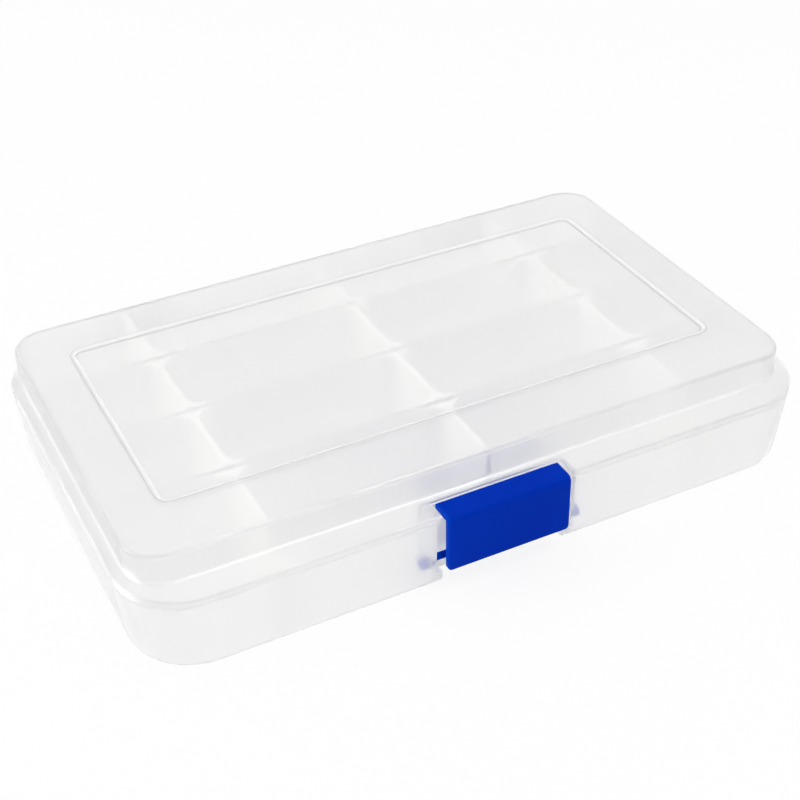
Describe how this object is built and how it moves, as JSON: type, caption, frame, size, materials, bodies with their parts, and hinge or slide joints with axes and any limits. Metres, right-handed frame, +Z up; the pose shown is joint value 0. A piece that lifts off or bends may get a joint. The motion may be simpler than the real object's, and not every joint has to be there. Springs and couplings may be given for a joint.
{
  "type": "tackle box",
  "caption": "Flat clear plastic tackle box with a hinged lid, a swinging front latch and lift-out dividers between fixed lanes.",
  "frame": {"origin": "centre of the underside of the base tray, on the surface the box stands on", "axes": "+X along the front to the right, +Y from the latch to the hinges, +Z up"},
  "size_m": [0.198, 0.1304, 0.0322],
  "materials": {
    "clear_base": "natural clear polypropylene, slightly milky, satin inside",
    "clear_lid": "natural clear polypropylene, glossy",
    "clear_divider": "natural polypropylene, a little whiter than the tray",
    "blue_latch": "opaque blue moulded polypropylene, satin",
    "pin_steel": "drawn steel wire"
  },
  "bodies": {
    "base": {"base_tray": "clear_base", "hinge_pin_left": "pin_steel", "hinge_pin_right": "pin_steel", "divider_back_left": "clear_divider", "divider_back_middle": "clear_divider", "divider_back_right": "clear_divider", "divider_far_left": "clear_divider", "divider_far_middle": "clear_divider", "divider_far_right": "clear_divider", "divider_front_left": "clear_divider", "divider_front_middle": "clear_divider", "divider_front_right": "clear_divider", "divider_near_left": "clear_divider", "divider_near_middle": "clear_divider", "divider_near_right": "clear_divider"},
    "lid": {"lid": "clear_lid"},
    "latch": {"latch": "blue_latch"}
  },
  "joints": [
    {"name": "lid_hinge", "type": "hinge", "parent": "base", "child": "lid", "pos_m": [0, 0.0645, 0.0216], "axis": [-1, 0, 0], "range_deg": [0, 180]},
    {"name": "latch_pivot", "type": "hinge", "parent": "base", "child": "latch", "pos_m": [0, -0.0573, 0.0069], "axis": [1, 0, 0], "range_deg": [0, 92]}
  ]
}
